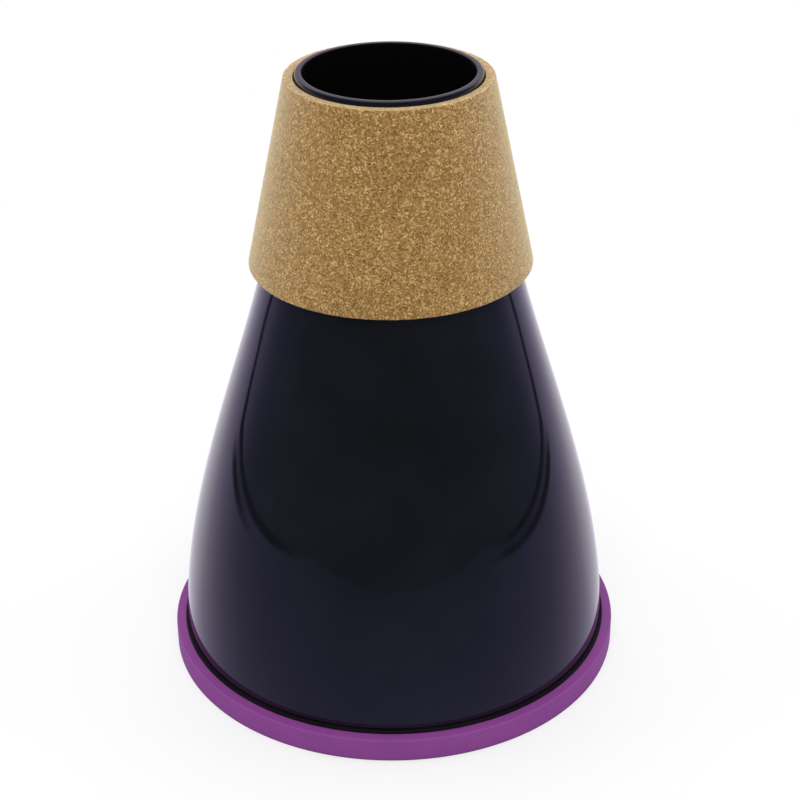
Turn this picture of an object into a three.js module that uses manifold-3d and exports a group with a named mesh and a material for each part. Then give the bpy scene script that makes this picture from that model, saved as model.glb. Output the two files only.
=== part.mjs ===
// Practice mute for a trumpet: a flared plastic shell with a cork collar, on a push-in base cap.
// Inside, the breath passes a perforated baffle and two foam rings, and leaves by a bleed tube.
// Millimetres, +Z up. The origin is the centre of the foot, on the surface that the mute stands on.
import * as THREE from "three";
import { mergeVertices } from "three/addons/utils/BufferGeometryUtils.js";
import Module from "manifold-3d";

const wasm = await Module();
wasm.setup();

// Base cap: a moulded plate with a foot ring, a ledge that shows round the shell, and a spigot
const capRadius = 52;
const capEdgeRound = 0.6;
const footWidth = 4.2;
const footDepth = 1.2;
const plateThickness = 2.4;
const ledgeRise = 2.1;
const ledgeWidth = 2.85;
const spigotHeight = 8.4;
const spigotWall = 2;
const beadHeight = 1.6;
const beadWidth = 0.8;

// Shell: one moulding from its foot to the rim of the throat
const shellHeight = 132.4;
const shellWall = 1.5;
const shellFootChamfer = 0.3;
const throatRadius = 19.6;
const rimRound = 0.2;
// The side leaves the foot upright, and runs straight from the collar's foot to the rim
const collarSeatRadius = 28;
const skirtReach = 30;
const shoulderReach = 20;

// Cork collar round the throat
const collarHeight = 41.4;
const collarTopThickness = 2;
const collarFootThickness = 2.6;
const collarEdge = 0.3;
const rimProud = 0.9;
const glueLine = 0.3;

// Rubber seal between the shell's foot and the base cap, with grip ribs on its sleeve
const sealThickness = 0.8;
const sealProud = 0.65;
const sleeveThickness = 0.9;
const ribDepth = 0.6;
const ribCount = 2;

// Bleed tube: it stands in the base cap's well on a flange, and a nut holds it from below
const boreRadius = 2.5;
const tipWall = 1.4;
const shoulderWidth = 1.1;
const tubeLength = 49;
const tipGrip = 4.4;
const flangeWidth = 4;
const flangeThickness = 2;
const tubeEndProud = 0.6;
const tubeEndInset = 1.4;
const nutWall = 2.2;
const nutThickness = 3.6;
const wellRoom = 0.9;
const bleedHoleRadius = 0.9;
const bleedHolePitch = 5;
const bleedZoneShare = 0.52;

// Cap on the tube's tip, which closes the tube and clamps the baffle
const tubeCapWall = 2.6;
const tubeCapRoof = 1.4;
const tubeCapRound = 1.2;

// Perforated baffle disc
const baffleThickness = 1.6;
const baffleRoom = 1;
const baffleHoleRadius = 2.2;
const innerHoleCount = 6;
const innerCircleShare = 0.42;
const outerHoleCount = 12;
const outerCircleShare = 0.76;

// Foam rings, which fill the chamber between the base cap and the baffle
const foamFit = 0.4;
const foamRoom = 2;
const foamEdge = 1;

// Gap kept between pieces that fit inside one another
const fitGap = 0.3;
// How far a cutting tool runs past what it cuts
const overrun = 1;

// Steps round a large ring, a small one and a drilled hole, along a rounded edge and the shell's side
const largeSteps = 72;
const smallSteps = 32;
const holeSteps = 12;
const roundSteps = 2;
const sideSteps = 9;

// Heights, from the surface that the mute stands on upwards
const plateUnder = footDepth;
const plateTop = plateUnder + plateThickness;
const ledgeTop = plateTop + ledgeRise;
const spigotTop = ledgeTop + spigotHeight;
const beadFoot = spigotTop - beadHeight;
const sleeveTop = beadFoot - fitGap;
const shellFoot = ledgeTop + sealThickness;
const rimTop = shellFoot + shellHeight;
const taperTop = rimTop - rimRound;
const collarTop = rimTop - rimProud;
const collarFoot = collarTop - collarHeight;
const tubeEnd = plateUnder + tubeEndInset;
const nutFoot = tubeEnd + tubeEndProud;
const wellRoof = nutFoot + nutThickness;
const wellTop = wellRoof + plateThickness;
const flangeTop = wellTop + flangeThickness;
const tubeShoulder = flangeTop + tubeLength;
const baffleTop = tubeShoulder + baffleThickness;
const tipTop = baffleTop + tipGrip;
const foamSplit = (plateTop + tubeShoulder) / 2;

const point = (radius, height) => new THREE.Vector2(radius, height);

// The shell's side, moved in from its outer face by an offset, from its foot to the collar's foot
function shellSide(offset) {
  const footRadius = capRadius - ledgeWidth;
  const lean = (collarSeatRadius - throatRadius) / (taperTop - collarFoot);
  const curve = new THREE.CubicBezierCurve(
    point(footRadius, shellFoot + shellFootChamfer),
    point(footRadius, shellFoot + shellFootChamfer + skirtReach),
    point(collarSeatRadius + lean * shoulderReach, collarFoot - shoulderReach),
    point(collarSeatRadius, collarFoot),
  );
  const side = [];
  for (let i = 0; i <= sideSteps; i++) {
    const at = curve.getPoint(i / sideSteps);
    const along = curve.getTangent(i / sideSteps);
    side.push(point(at.x - along.y * offset, at.y + along.x * offset));
  }
  return side;
}

const outerSide = shellSide(0);
const innerSide = shellSide(shellWall);

// Radius of the shell's inner face at a height between its foot and the collar's foot
function shellInnerRadius(height) {
  const next = innerSide.findIndex((at) => at.y > height);
  if (next < 1) return innerSide.at(next).x;
  const low = innerSide[next - 1];
  const high = innerSide[next];
  return THREE.MathUtils.mapLinear(height, low.y, high.y, low.x, high.x);
}

// Radii, from the shell inwards: the seal's ribs reach the shell, and the spigot carries the seal
const shellFootRadius = outerSide[0].x;
const shellFootInner = innerSide[0].x;
const gripRadius = shellInnerRadius(sleeveTop) - fitGap;
const sleeveRadius = gripRadius - ribDepth;
const sealInner = sleeveRadius - sleeveThickness;
const spigotRadius = sealInner - fitGap;
const spigotInner = spigotRadius - spigotWall;

// Radii, from the bleed tube's bore outwards
const tipRadius = boreRadius + tipWall;
const tipHoleRadius = tipRadius + fitGap;
const tubeCapRadius = tipHoleRadius + tubeCapWall;
const tubeRadius = tipRadius + shoulderWidth;
const tubeHoleRadius = tubeRadius + fitGap;
const flangeRadius = tubeRadius + flangeWidth;
const nutCornerRadius = (tubeHoleRadius + nutWall) / Math.cos(Math.PI / 6);
const wellInner = nutCornerRadius + wellRoom;
const wellRadius = wellInner + plateThickness;

// Points on an arc about a centre, between two directions in radians
function arc(centreRadius, centreHeight, radius, from, to) {
  const points = [];
  for (let i = 0; i <= roundSteps; i++) {
    const angle = from + ((to - from) * i) / roundSteps;
    const across = radius * Math.cos(angle);
    const up = radius * Math.sin(angle);
    points.push(point(centreRadius + across, centreHeight + up));
  }
  return points;
}

// Points round a circle, or round a polygon when the steps are few
function circle(radius, steps, centre = point(0, 0)) {
  const points = [];
  for (let i = 0; i < steps; i++) {
    const angle = (2 * Math.PI * i) / steps;
    points.push(point(radius, 0).rotateAround(point(0, 0), angle).add(centre));
  }
  return points;
}

// Solid of revolution about Z. The outline runs anticlockwise, from axis to axis or round a loop.
function turned(outline, steps) {
  const closed = outline[0].x === 0 ? outline : [...outline, outline[0]];
  return new THREE.LatheGeometry(closed, steps).rotateX(Math.PI / 2);
}

// Flat plate with an outline and holes, between two heights
function plate(outline, holes, foot, top) {
  const shape = new THREE.Shape(outline);
  shape.holes = holes.map((hole) => new THREE.Path(hole));
  const geometry = new THREE.ExtrudeGeometry(shape, { depth: top - foot, bevelEnabled: false });
  return geometry.translate(0, 0, foot);
}

function toSolid(geometry) {
  const bare = geometry.clone().deleteAttribute("normal").deleteAttribute("uv");
  const merged = mergeVertices(bare);
  return new wasm.Manifold(
    new wasm.Mesh({
      numProp: 3,
      vertProperties: merged.attributes.position.array,
      triVerts: new Uint32Array(merged.index.array),
    }),
  );
}

function toGeometry(solid) {
  const mesh = solid.getMesh();
  const geometry = new THREE.BufferGeometry();
  geometry.setAttribute("position", new THREE.BufferAttribute(mesh.vertProperties, 3));
  geometry.setIndex(new THREE.BufferAttribute(mesh.triVerts, 1));
  geometry.computeVertexNormals();
  return geometry;
}

function shell() {
  const rimInner = throatRadius - shellWall;
  return turned(
    [
      point(shellFootInner, shellFoot),
      point(shellFootRadius - shellFootChamfer, shellFoot),
      ...outerSide,
      ...arc(throatRadius - rimRound, taperTop, rimRound, 0, Math.PI / 2),
      ...arc(rimInner + rimRound, taperTop, rimRound, Math.PI / 2, Math.PI),
      ...innerSide.toReversed(),
    ],
    largeSteps,
  );
}

function corkCollar() {
  const seatRadius = (height) =>
    THREE.MathUtils.mapLinear(height, collarFoot, taperTop, collarSeatRadius, throatRadius);
  const footInner = seatRadius(collarFoot) + glueLine;
  const topInner = seatRadius(collarTop) + glueLine;
  const footOuter = footInner + collarFootThickness;
  const topOuter = topInner + collarTopThickness;
  return turned(
    [
      point(footInner, collarFoot),
      point(footOuter - collarEdge, collarFoot),
      point(footOuter, collarFoot + collarEdge),
      point(topOuter, collarTop - collarEdge),
      point(topOuter - collarEdge, collarTop),
      point(topInner, collarTop),
    ],
    largeSteps,
  );
}

function baseCap() {
  const footInner = capRadius - footWidth;
  const beadRadius = spigotRadius + beadWidth;
  const roundCentre = capRadius - capEdgeRound;
  return turned(
    [
      point(footInner, 0),
      ...arc(roundCentre, capEdgeRound, capEdgeRound, -Math.PI / 2, 0),
      ...arc(roundCentre, ledgeTop - capEdgeRound, capEdgeRound, 0, Math.PI / 2),
      point(spigotRadius, ledgeTop),
      point(spigotRadius, beadFoot),
      point(beadRadius, beadFoot),
      point(beadRadius, spigotTop - beadWidth),
      point(spigotRadius, spigotTop),
      point(spigotInner, spigotTop),
      point(spigotInner, plateTop),
      point(wellRadius, plateTop),
      point(wellRadius, wellTop),
      point(tubeHoleRadius, wellTop),
      point(tubeHoleRadius, wellRoof),
      point(wellInner, wellRoof),
      point(wellInner, plateUnder),
      point(footInner, plateUnder),
    ],
    largeSteps,
  );
}

function sealRing() {
  const ribPitch = (sleeveTop - shellFoot) / ribCount;
  const ribs = [];
  for (let i = 0; i < ribCount; i++) {
    const ribFoot = shellFoot + ribPitch * i;
    ribs.push(point(sleeveRadius, ribFoot + ribPitch / 4));
    ribs.push(point(gripRadius, ribFoot + ribPitch / 2));
    ribs.push(point(sleeveRadius, ribFoot + (ribPitch * 3) / 4));
  }
  return turned(
    [
      point(sealInner, ledgeTop),
      point(shellFootRadius + sealProud, ledgeTop),
      point(shellFootRadius + sealProud, shellFoot),
      point(sleeveRadius, shellFoot),
      ...ribs,
      point(sleeveRadius, sleeveTop),
      point(sealInner, sleeveTop),
    ],
    largeSteps,
  );
}

function bleedTube() {
  const outline = [
    point(boreRadius, tubeEnd),
    point(tubeRadius, tubeEnd),
    point(tubeRadius, wellTop),
    point(flangeRadius, wellTop),
    point(flangeRadius, flangeTop),
    point(tubeRadius, flangeTop),
    point(tubeRadius, tubeShoulder),
    point(tipRadius, tubeShoulder),
    point(tipRadius, tipTop),
    point(boreRadius, tipTop),
  ];
  let tube = toSolid(turned(outline, smallSteps));
  // Each row of holes is two drillings across the tube, and each row is turned half a step
  const rows = Math.floor((tubeLength * bleedZoneShare) / bleedHolePitch);
  const drillLength = 2 * (tubeRadius + overrun);
  for (let row = 0; row < rows; row++) {
    const height = tubeShoulder - bleedHolePitch * (row + 1);
    for (const crossing of [0, 1]) {
      const turn = (Math.PI / 4) * ((row % 2) + 2 * crossing);
      const drill = new THREE.CylinderGeometry(
        bleedHoleRadius,
        bleedHoleRadius,
        drillLength,
        holeSteps,
      );
      tube = tube.subtract(toSolid(drill.rotateZ(turn).translate(0, 0, height)));
    }
  }
  return toGeometry(tube);
}

function tubeNut() {
  const hexagon = circle(nutCornerRadius, 6);
  return plate(hexagon, [circle(tubeHoleRadius, smallSteps)], nutFoot, wellRoof);
}

function tubeCap() {
  const roofUnder = tipTop + fitGap;
  const roofTop = roofUnder + tubeCapRoof;
  const roundFoot = roofTop - tubeCapRound;
  return turned(
    [
      point(0, roofUnder),
      point(tipHoleRadius, roofUnder),
      point(tipHoleRadius, baffleTop),
      point(tubeCapRadius, baffleTop),
      ...arc(tubeCapRadius - tubeCapRound, roundFoot, tubeCapRound, 0, Math.PI / 2),
      point(0, roofTop),
    ],
    smallSteps,
  );
}

function baffleDisc() {
  const radius = shellInnerRadius(baffleTop) - baffleRoom;
  const holeCircle = (count, share) =>
    circle(radius * share, count).map((centre) => circle(baffleHoleRadius, holeSteps, centre));
  const holes = [
    circle(tipHoleRadius, smallSteps),
    ...holeCircle(innerHoleCount, innerCircleShare),
    ...holeCircle(outerHoleCount, outerCircleShare),
  ];
  return plate(circle(radius, largeSteps), holes, tubeShoulder, baffleTop);
}

// Foam ring with its outer edges eased
function foamRing(innerRadius, outerRadius, foot, top) {
  return turned(
    [
      point(innerRadius, foot),
      point(outerRadius - foamEdge, foot),
      point(outerRadius, foot + foamEdge),
      point(outerRadius, top - foamEdge),
      point(outerRadius - foamEdge, top),
      point(innerRadius, top),
    ],
    largeSteps,
  );
}

// The lower ring goes over the base cap's well and stands inside the spigot
function lowerFoamRing() {
  const inner = Math.max(wellRadius, flangeRadius) + foamFit;
  const outer = Math.min(spigotInner - foamFit, shellInnerRadius(foamSplit) - foamRoom);
  return foamRing(inner, outer, plateTop, foamSplit);
}

function upperFoamRing() {
  const outer = shellInnerRadius(tubeShoulder) - foamRoom;
  return foamRing(tubeRadius + foamFit, outer, foamSplit, tubeShoulder);
}

const finish = (color, roughness) =>
  new THREE.MeshStandardMaterial({ color, roughness, metalness: 0 });
const glossBlack = finish("#15151b", 0.12);
const satinBlack = finish("#1d1d21", 0.45);
const purple = finish("#7e4183", 0.5);
const cork = finish("#9d794c", 0.85);
const rubber = finish("#0f1114", 0.7);
const nylon = finish("#d8d3c4", 0.5);
const foam = finish("#3a3b40", 0.95);

const mute = new THREE.Group();

function add(name, geometry, material) {
  const piece = new THREE.Mesh(geometry, material);
  piece.name = name;
  mute.add(piece);
}

add("shell", shell(), glossBlack);
add("cork_collar", corkCollar(), cork);
add("base_cap", baseCap(), purple);
add("seal_ring", sealRing(), rubber);
add("bleed_tube", bleedTube(), nylon);
add("tube_nut", tubeNut(), satinBlack);
add("tube_cap", tubeCap(), satinBlack);
add("baffle_disc", baffleDisc(), satinBlack);
add("lower_foam_ring", lowerFoamRing(), foam);
add("upper_foam_ring", upperFoamRing(), foam);

export default mute;
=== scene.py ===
"""A practice mute: a gloss black shell with a cork collar on a purple base cap, and what works inside."""

import math

import bmesh
import bpy
from mathutils import Matrix, Vector, geometry, noise


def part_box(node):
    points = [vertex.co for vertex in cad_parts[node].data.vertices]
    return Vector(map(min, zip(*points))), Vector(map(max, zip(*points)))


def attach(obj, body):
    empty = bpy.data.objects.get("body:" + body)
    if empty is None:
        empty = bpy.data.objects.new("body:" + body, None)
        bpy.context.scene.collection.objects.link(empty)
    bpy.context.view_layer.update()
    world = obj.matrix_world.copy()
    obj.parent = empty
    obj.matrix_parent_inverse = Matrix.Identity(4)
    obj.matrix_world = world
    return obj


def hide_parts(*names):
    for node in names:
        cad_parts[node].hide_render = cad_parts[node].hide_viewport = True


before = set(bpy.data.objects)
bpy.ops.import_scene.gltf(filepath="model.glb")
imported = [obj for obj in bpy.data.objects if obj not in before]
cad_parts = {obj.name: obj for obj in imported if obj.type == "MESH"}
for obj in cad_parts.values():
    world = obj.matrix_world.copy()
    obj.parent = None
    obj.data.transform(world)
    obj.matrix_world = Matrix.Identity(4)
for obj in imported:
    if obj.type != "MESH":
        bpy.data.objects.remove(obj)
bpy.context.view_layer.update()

# Sizes are in millimetres, apart from those of the sheet, the table and the lamps, which say metres.
# This turns millimetres into metres.
MM = 0.001


def reach(node):
    """The outer radius of a round node, its foot and its top, in millimetres."""
    low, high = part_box(node)
    return high.x / MM, low.z / MM, high.z / MM


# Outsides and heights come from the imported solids.
SHELL_RADIUS, SHELL_FOOT, SHELL_RIM = reach("shell")
COLLAR_RADIUS, COLLAR_FOOT, COLLAR_TOP = reach("cork_collar")
CAP_RADIUS, CAP_FOOT, SPIGOT_TOP = reach("base_cap")
SEAL_RADIUS, SEAL_FOOT, SEAL_TOP = reach("seal_ring")
FLANGE_RADIUS, TUBE_FOOT, TUBE_TOP = reach("bleed_tube")
NUT_CORNER, NUT_FOOT, NUT_TOP = reach("tube_nut")
LID_RADIUS, LID_FOOT, LID_TOP = reach("tube_cap")
BAFFLE_RADIUS, BAFFLE_FOOT, BAFFLE_TOP = reach("baffle_disc")
LOWER_FOAM_RADIUS, LOWER_FOAM_FOOT, LOWER_FOAM_TOP = reach("lower_foam_ring")
UPPER_FOAM_RADIUS, UPPER_FOAM_FOOT, UPPER_FOAM_TOP = reach("upper_foam_ring")

# Eases of moulded and turned edges.
CRISP_EASE = 0.1
FINE_EASE = 0.2
EDGE_EASE = 0.25
PLAIN_EASE = 0.3
ROUND_EASE = 0.4
SOFT_EASE = 0.5
FULL_EASE = 0.6

# Shell
SHELL_WALL = 1.5
SHELL_FOOT_EASE = 0.3
RIM_EASE = 0.3
NECK_RADIUS = 28.0
THROAT_RADIUS = 19.6
THROAT_DROP = 0.2
SKIRT_REACH = 30.0
SHOULDER_REACH = 20.0
SIDE_POINTS = 72
NECK_POINTS = 12
INSIDE_TURN = -0.5
POLISH_DRIFT = 14.0

# Collar
COLLAR_TOP_RADIUS = 22.04
COLLAR_BORE_FOOT = 28.3
COLLAR_BORE_TOP = 20.04
COLLAR_BORE_LEAN = 0.2
COLLAR_BORE_MARGIN = 0.5
COLLAR_EASE = 0.2
CORK_MESH = 0.5
CORK_STEPS = 400
CORK_WAVE = 0.9
CORK_WAVE_DEPTH = 0.045
CORK_PIT_SPACING = 2.4
CORK_PIT_REACH_SHARE = 0.24
CORK_PIT_DEPTH = 0.45
CORK_PIT_SEED = 7.3
CORK_PLAIN_SHARE = 0.45
CORK_GRANULE = 0.31
CORK_WARP = 0.4
CORK_WARP_REACH = 0.25
CORK_CLOUD = 3.5
CORK_RELIEF = 0.06
CORK_TONES = (
    (0.0, "#60430c"),
    (0.1, "#785619"),
    (0.3, "#84622a"),
    (0.55, "#926e37"),
    (0.8, "#a6814a"),
    (0.93, "#b8935e"),
    (1.0, "#cba773"),
)

# Base cap
LEDGE_HEIGHT = 5.7
LEDGE_EASE = 0.35
FOOT_RING_WIDTH = 3.6
FOOT_RING_DEPTH = 1.2
CAP_EASE = 0.6
PLATE_THICKNESS = 2.4
SPIGOT_RADIUS = 45.24
SPIGOT_WALL = 2.0
BEAD_WIDTH = 0.8
BEAD_HEIGHT = 1.6
BEAD_DROP = 0.8
WELL_RADIUS = 9.56
WELL_WALL = 2.4
WELL_TOP = 9.2
WELL_HOLE = 5.3
PIN_MARK_RADIUS = 2.2
PIN_MARK_CIRCLE = 33.0
PIN_MARK_COUNT = 6
PIN_MARK_DEPTH = 0.12
PIN_MARK_EASE = 0.05
PIN_MARK_STEPS = 32
GATE_RING_OFFSET = 1.6
GATE_RING_WIDTH = 1.4
GATE_RING_DEPTH = 0.3
GATE_RING_EASE = 0.12
MARK_SINK = 0.1

# Seal
SEAL_GAP = 0.3
SEAL_THICKNESS = 0.8
SLEEVE_THICKNESS = 0.9
RIB_DEPTH = 0.6
RIB_PLACES = (7.92, 10.78)
SEAL_EASE = 0.25

# Bleed tube
BORE_RADIUS = 2.5
TUBE_RADIUS = 5.0
TUBE_TIP_RADIUS = 3.9
FLANGE_FOOT = 9.2
FLANGE_TOP = 11.2
SHOULDER_HEIGHT = 60.2
BLEED_ROWS = (55.2, 50.2, 45.2, 40.2, 35.2)
BLEED_HOLE_RADIUS = 0.9
BLEED_HOLE_STEPS = 24
DRILL_REACH = 7.5

# Threads
THREAD_PITCH = 1.25
THREAD_DEPTH = 0.4
THREAD_STEPS = 48
THREAD_ROOT_SHARE = 0.3
THREAD_FOOT_RISE = 0.06
THREAD_FLANK_SHARES = (0.8, 1.1, 1.9)
FOOT_THREAD_START = 0.3
FOOT_THREAD_STOP = 0.8
FOOT_THREAD_RUNOUT = 1.0
FOOT_THREAD_RELIEF = 0.6
TIP_THREAD_START = 1.8
TIP_THREAD_STOP = 0.2

# Nut
NUT_SIDES = 6
NUT_FLAT_SHARE = 0.98
NUT_CHAMFER_TURN = math.radians(30)
NUT_LEAD = 0.5
NUT_OVERRUN = 0.01
NUT_MARGIN = 0.1
NUT_THREAD_START = 0.3
NUT_THREAD_STOP = 0.1
NUT_THREAD_DEPTH = 0.25

# Lid of the bleed tube. The corners of its crown say how far in from its side and how far down from
# its top each one lies, and its ease.
LID_HOLE_RADIUS = 4.2
LID_HOLE_TOP = 66.5
LID_DISH = 0.25
LID_CROWN = ((0, 1.5, 0), (0.1, 1.1, 0), (0.9, 0.2, 0.3), (1.8, 0, 0.2), (2.6, 0.25, 0.1))
LID_STEPS = 96
LID_RIB_DEPTH = 0.3
LID_RIB_BAND = 0.4
LID_RIB_DROP = 1.0
LID_RIB_STEPS = 4
LID_GROOVE_STEPS = 2

# Baffle
BAFFLE_EASE = 0.3
BAFFLE_OVERRUN = 0.02
HUB_HOLE_RADIUS = 4.2
AIR_HOLE_RADIUS = 2.2
AIR_HOLE_STEPS = 40
AIR_CIRCLES = ((6, 14.95), (12, 27.05))

# Foam
LOWER_FOAM_HOLE = 12.36
UPPER_FOAM_HOLE = 5.4
FOAM_EASE = 2.2
FOAM_INNER_EASE = 1.0
FOAM_BULGE = 0.5
FOAM_SIDE_TILT = 0.5
FOAM_MESH = 0.9
FOAM_STEPS = 320
FOAM_PORE = 1.5
FOAM_PORE_SHARE = 0.55
FOAM_PORE_DEPTH = 0.4
FOAM_LUMP = 7.0
FOAM_LUMP_DEPTH = 0.35
FOAM_LUMP_MIDDLE = 0.4
FOAM_LUMP_FALL = 1.0
FOAM_LUMP_SHRINK = 2.0
FOAM_LUMP_SIZES = 3
FOAM_SINK = 0.15
FOAM_CELL = 0.9
FOAM_CLOUD = 6.0
FOAM_RELIEF = 0.25

# Moulded plastics
PLASTIC_DRIFT = 9.0
NYLON_GLOW_DEPTH = 1.5

TURN_STEPS = 240
SMALL_STEPS = 96
EASE_STEPS = 4
SHARP_TURN = math.radians(32)
MERGE_REACH = 1e-7
WHITE = "#ffffff"


def linear(code):
    """An sRGB hex colour as the linear colour that a shader takes."""
    parts = [int(code[place : place + 2], 16) / 255 for place in (1, 3, 5)]
    return (*[part / 12.92 if part <= 0.04045 else ((part + 0.055) / 1.055) ** 2.4 for part in parts], 1)


def spun(outline, steps=TURN_STEPS, longest=0.0, centre=(0.0, 0.0)):
    """Turns a closed outline of (radius, height, ease) corners round an upright axis."""
    mesh = bmesh.new()
    middle = Vector((centre[0] * MM, centre[1] * MM, 0))
    corners = []
    for radius, height, ease in outline:
        corners.append(mesh.verts.new(middle + Vector((radius * MM, 0, height * MM))))
    for here, after in zip(corners, corners[1:] + corners[:1]):
        mesh.edges.new((here, after))
    for ease in sorted({corner[2] for corner in outline} - {0}):
        bmesh.ops.bevel(
            mesh,
            geom=[vertex for vertex, corner in zip(corners, outline) if corner[2] == ease],
            offset=ease * MM,
            offset_type="OFFSET",
            segments=EASE_STEPS,
            profile=0.5,
            affect="VERTICES",
            material=-1,
        )
    for edge in mesh.edges[:]:
        cuts = int(edge.calc_length() / (longest * MM)) if longest else 0
        if cuts:
            bmesh.ops.subdivide_edges(mesh, edges=[edge], cuts=cuts)
    bmesh.ops.spin(
        mesh,
        geom=mesh.verts[:] + mesh.edges[:],
        cent=middle,
        axis=(0, 0, 1),
        dvec=(0, 0, 0),
        angle=math.tau,
        space=Matrix(),
        steps=steps,
        use_merge=True,
        use_normal_flip=False,
        use_duplicate=False,
    )
    bmesh.ops.remove_doubles(mesh, verts=mesh.verts[:], dist=MERGE_REACH)
    bmesh.ops.recalc_face_normals(mesh, faces=mesh.faces[:])
    return mesh


def joined(meshes):
    """Puts several meshes into the first one."""
    first = meshes[0]
    for other in meshes[1:]:
        data = bpy.data.meshes.new("part")
        other.to_mesh(data)
        other.free()
        first.from_mesh(data)
        bpy.data.meshes.remove(data)
    return first


def carved(mesh, tool, operation):
    """Cuts a mesh with another one, or keeps what both share."""
    pair = []
    for name, source in (("blank", mesh), ("tool", tool)):
        data = bpy.data.meshes.new(name)
        source.to_mesh(data)
        source.free()
        pair.append(bpy.data.objects.new(name, data))
        bpy.context.scene.collection.objects.link(pair[-1])
    cut = pair[0].modifiers.new("cut", "BOOLEAN")
    cut.object = pair[1]
    cut.operation = operation
    cut.solver = "EXACT"
    cut.use_self = True
    result = bmesh.new()
    result.from_object(pair[0], bpy.context.evaluated_depsgraph_get())
    for extra in pair:
        data = extra.data
        bpy.data.objects.remove(extra)
        bpy.data.meshes.remove(data)
    return result


def thread(radius, low, high, depth):
    """A raised thread wound round the axis; a negative depth winds it on the inside of a hole."""
    mesh = bmesh.new()
    turns = (high - low) / THREAD_PITCH - 1
    root = radius - depth * THREAD_ROOT_SHARE
    crest = radius + depth
    crest_foot, crest_top, root_top = [THREAD_PITCH / 2 * share for share in THREAD_FLANK_SHARES]
    section = ((root, THREAD_FOOT_RISE), (crest, crest_foot), (crest, crest_top), (root, root_top))
    corners = [mesh.verts.new((out * MM, 0, (low + rise) * MM)) for out, rise in section]
    for here, after in zip(corners, corners[1:] + corners[:1]):
        mesh.edges.new((here, after))
    mesh.faces.new(corners)
    bmesh.ops.spin(
        mesh,
        geom=mesh.faces[:],
        cent=(0, 0, 0),
        axis=(0, 0, 1),
        dvec=(0, 0, THREAD_PITCH / THREAD_STEPS * MM),
        angle=math.tau * turns,
        space=Matrix(),
        steps=int(THREAD_STEPS * turns),
        use_merge=False,
        use_normal_flip=False,
        use_duplicate=False,
    )
    bmesh.ops.recalc_face_normals(mesh, faces=mesh.faces[:])
    return mesh


def show(mesh, name, node, body, finish, weighted=True):
    """Makes a piece of a mesh, rides it on its body and stands it in for its CAD node."""
    for face in mesh.faces:
        face.smooth = True
    for edge in mesh.edges:
        edge.smooth = not edge.is_manifold or edge.calc_face_angle() < SHARP_TURN
    data = bpy.data.meshes.new(name)
    mesh.to_mesh(data)
    mesh.free()
    data.materials.append(finish)
    piece = bpy.data.objects.new(name, data)
    bpy.context.scene.collection.objects.link(piece)
    if weighted:
        flats = piece.modifiers.new("flats", "WEIGHTED_NORMAL")
        flats.mode = "FACE_AREA"
        flats.keep_sharp = True
    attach(piece, body)
    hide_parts(node)
    return piece


# A Mix node holds its two numbers in sockets 2 and 3 and its two colours in sockets 6 and 7.
def add(tree, kind, inputs=None, stops=(), **settings):
    """Adds a node with its settings, links or sets its inputs, and places the stops of a colour ramp."""
    made = tree.nodes.new(kind)
    for name, value in settings.items():
        setattr(made, name, value)
    for socket, value in (inputs or {}).items():
        if isinstance(value, bpy.types.NodeSocket):
            tree.links.new(value, made.inputs[socket])
        else:
            made.inputs[socket].default_value = value
    if stops:
        bar = made.color_ramp.elements
        while len(bar) < len(stops):
            bar.new(0.5)
        for stop, (place, colour) in zip(bar, stops):
            stop.position = place
            stop.color = linear(colour)
    return made


def material(name, **surface):
    """A new material with a Principled surface, whose constants are set on its own sockets."""
    made = bpy.data.materials.new(name)
    made.use_nodes = True
    tree = made.node_tree
    tree.nodes.clear()
    constants = {socket.replace("_", " "): value for socket, value in surface.items()}
    shader = add(tree, "ShaderNodeBsdfPrincipled", constants)
    add(tree, "ShaderNodeOutputMaterial", {"Surface": shader.outputs["BSDF"]})
    place = add(tree, "ShaderNodeTexCoord").outputs["Object"]
    return made, tree, shader, place


def gloss_black():
    # Black ABS, injection moulded: near black, a mirror outside, where the mould was polished,
    # and dull inside, where its core was not. Inside it is also coloured darker and given less glint:
    # painted shade for the hollow.
    made, tree, shader, place = material("gloss_black_moulded_abs", IOR=1.52)
    flow = add(tree, "ShaderNodeTexNoise", {"Vector": place, "Scale": 1 / (POLISH_DRIFT * MM), "Detail": 3.0})
    tones = ((0.35, "#0c0d11"), (0.7, "#111217"))
    tone = add(tree, "ShaderNodeValToRGB", {"Fac": flow.outputs["Fac"]}, tones).outputs["Color"]
    inside = add(tree, "ShaderNodeAttribute", attribute_name="inside").outputs["Fac"]
    # Painted shade: the inside of the hollow is coloured darker than the outside.
    hollow_shade = linear("#08080a")
    colour = add(tree, "ShaderNodeMix", {"Factor": inside, 6: tone, 7: hollow_shade}, data_type="RGBA")
    tree.links.new(colour.outputs[2], shader.inputs["Base Color"])
    polish = add(
        tree,
        "ShaderNodeMapRange",
        {"Value": flow.outputs["Fac"], "From Min": 0.3, "From Max": 0.7, "To Min": 0.03, "To Max": 0.06},
    )
    rough = add(
        tree,
        "ShaderNodeMix",
        {"Factor": inside, 2: polish.outputs["Result"], 3: 0.6},
        data_type="FLOAT",
    )
    tree.links.new(rough.outputs[0], shader.inputs["Roughness"])
    # Painted shade: less glint inside the hollow.
    glint = add(tree, "ShaderNodeMapRange", {"Value": inside, "To Min": 0.5, "To Max": 0.15})
    tree.links.new(glint.outputs["Result"], shader.inputs["Specular IOR Level"])
    return made


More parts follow.
